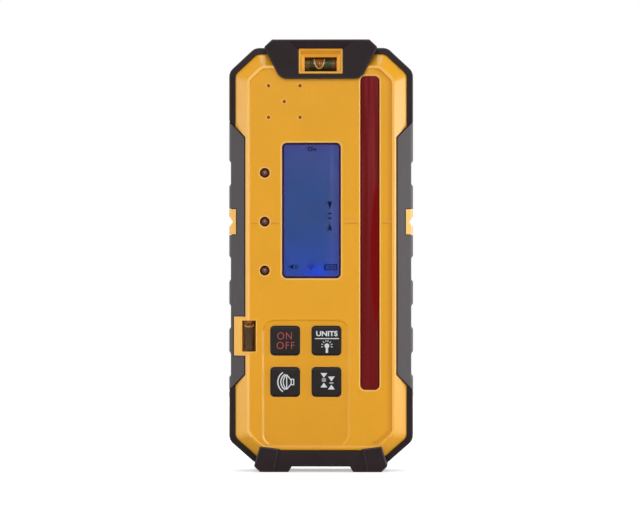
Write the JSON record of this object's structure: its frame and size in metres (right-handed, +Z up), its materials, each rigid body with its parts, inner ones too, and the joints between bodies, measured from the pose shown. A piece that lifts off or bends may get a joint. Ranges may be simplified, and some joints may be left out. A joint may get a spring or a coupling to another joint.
{
  "type": "laser receiver",
  "caption": "Hand-held laser receiver: tall yellow housing with black rubber bumpers, grey grips, red laser window, blue display, keypad, bubble vials and a hinged battery door.",
  "frame": {"origin": "centre of the box's underside, between the two feet", "axes": "+Z up along the receiver's length, -Y out of the front panel, +X to the viewer's right"},
  "size_m": [0.0736, 0.0304, 0.1726],
  "materials": {
    "yellow_plastic": "moulded, fine grain, semi-matt",
    "black_rubber": "matt moulded rubber",
    "grey_rubber": "matt moulded rubber",
    "seal_rubber": "soft matt",
    "key_rubber": "silk matt",
    "clear_acrylic": "clear polished",
    "vial_fluid": "tinted liquid",
    "display_lens": "clear polished",
    "display_glass": "flat, backlit",
    "diffuser": "milky",
    "red_window": "polished red filter",
    "lamp_resin": "tinted resin",
    "board": "solder mask",
    "chip_resin": "moulded resin",
    "plunger_plastic": "moulded",
    "cell_can": "plain sleeve",
    "contact_steel": "nickel plated",
    "steel": "zinc plated",
    "brass": "turned"
  },
  "bodies": {
    "root": {"front_cover": "yellow_plastic", "rear_cover": "yellow_plastic", "cover_gasket": "seal_rubber", "upper_bumper": "black_rubber", "lower_bumper": "black_rubber", "left_grip": "grey_rubber", "right_grip": "grey_rubber", "top_cap": "black_rubber", "bottom_bumper": "black_rubber", "top_vial_holder": "yellow_plastic", "top_vial_tube": "clear_acrylic", "top_vial_plug": "chip_resin", "top_vial_fluid": "vial_fluid", "side_vial_tube": "clear_acrylic", "side_vial_plug": "chip_resin", "side_vial_fluid": "vial_fluid", "side_vial_retainer": "yellow_plastic", "display_lens": "display_lens", "display_gasket": "seal_rubber", "display_glass": "display_glass", "display_frame": "steel", "display_backlight": "diffuser", "laser_window": "red_window", "window_gasket": "seal_rubber", "detector_board": "board", "photodiodes": "chip_resin", "detector_headers": "chip_resin", "main_board": "board", "board_chips": "chip_resin", "board_screws": "steel", "indicator_leds": "lamp_resin", "sounder": "chip_resin", "sounder_membrane": "chip_resin", "tact_switches": "chip_resin", "cell_left": "cell_can", "cell_right": "cell_can", "bridge_contact": "contact_steel", "positive_terminal": "contact_steel", "negative_terminal": "contact_steel", "contact_springs": "contact_steel", "door_hinge_pin": "steel", "door_seal": "seal_rubber", "cover_screws": "steel", "clamp_insert": "brass"},
    "power_key": {"key_power": "key_rubber", "plunger_power": "plunger_plastic"},
    "units_key": {"key_units": "key_rubber", "plunger_units": "plunger_plastic"},
    "sound_key": {"key_sound": "key_rubber", "plunger_sound": "plunger_plastic"},
    "accuracy_key": {"key_accuracy": "key_rubber", "plunger_accuracy": "plunger_plastic"},
    "door": {"battery_door": "yellow_plastic"}
  },
  "joints": [
    {"name": "power_press", "type": "slide", "parent": "root", "child": "power_key", "axis": [0, 1, 0], "range_m": [0, 0.0008], "stiffness_N_per_m": 400},
    {"name": "units_press", "type": "slide", "parent": "root", "child": "units_key", "axis": [0, 1, 0], "range_m": [0, 0.0008], "stiffness_N_per_m": 400},
    {"name": "sound_press", "type": "slide", "parent": "root", "child": "sound_key", "axis": [0, 1, 0], "range_m": [0, 0.0008], "stiffness_N_per_m": 400},
    {"name": "accuracy_press", "type": "slide", "parent": "root", "child": "accuracy_key", "axis": [0, 1, 0], "range_m": [0, 0.0008], "stiffness_N_per_m": 400},
    {"name": "door_hinge", "type": "hinge", "parent": "root", "child": "door", "pos_m": [0, 0.0125, 0.015], "axis": [-1, 0, 0], "range_deg": [0, 95]}
  ]
}
